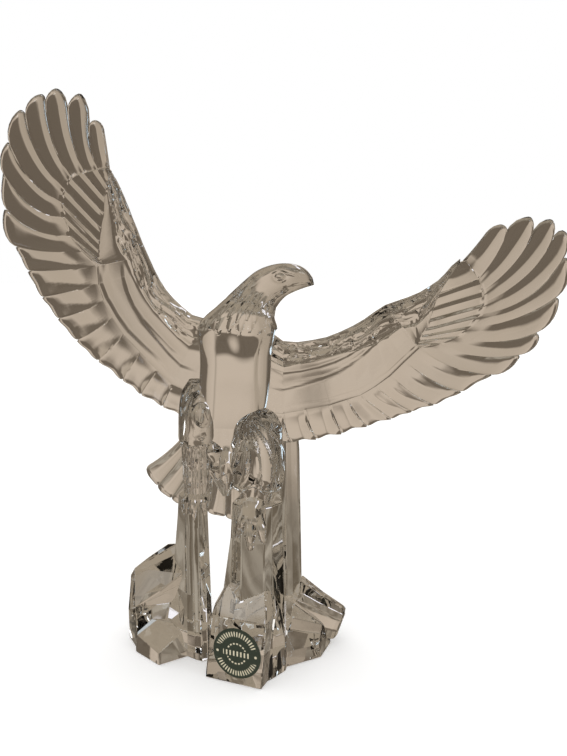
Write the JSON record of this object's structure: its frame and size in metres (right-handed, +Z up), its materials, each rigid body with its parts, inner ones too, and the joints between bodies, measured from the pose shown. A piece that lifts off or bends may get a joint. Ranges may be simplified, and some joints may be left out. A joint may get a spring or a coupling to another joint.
{
  "type": "crystal eagle figurine",
  "caption": "Clear cast-crystal eagle with raised, spread wings and turned head, perched on facetted crystal rocks, with a round foil seal on the front; a shelf or desk ornament.",
  "frame": {"origin": "middle of the rock's flat underside", "axes": "+Z up, -Y the way the bird's breast and the seal face, +X the viewer's right, which the head turns to"},
  "size_m": [0.2477, 0.0679, 0.2434],
  "materials": {
    "crystal": "clear fire-polished lead crystal with a faint warm cast",
    "foil": "dark green satin foil with cream print"
  },
  "bodies": {
    "root": {"crystal_eagle": "crystal", "foil_seal": "foil"}
  },
  "joints": []
}
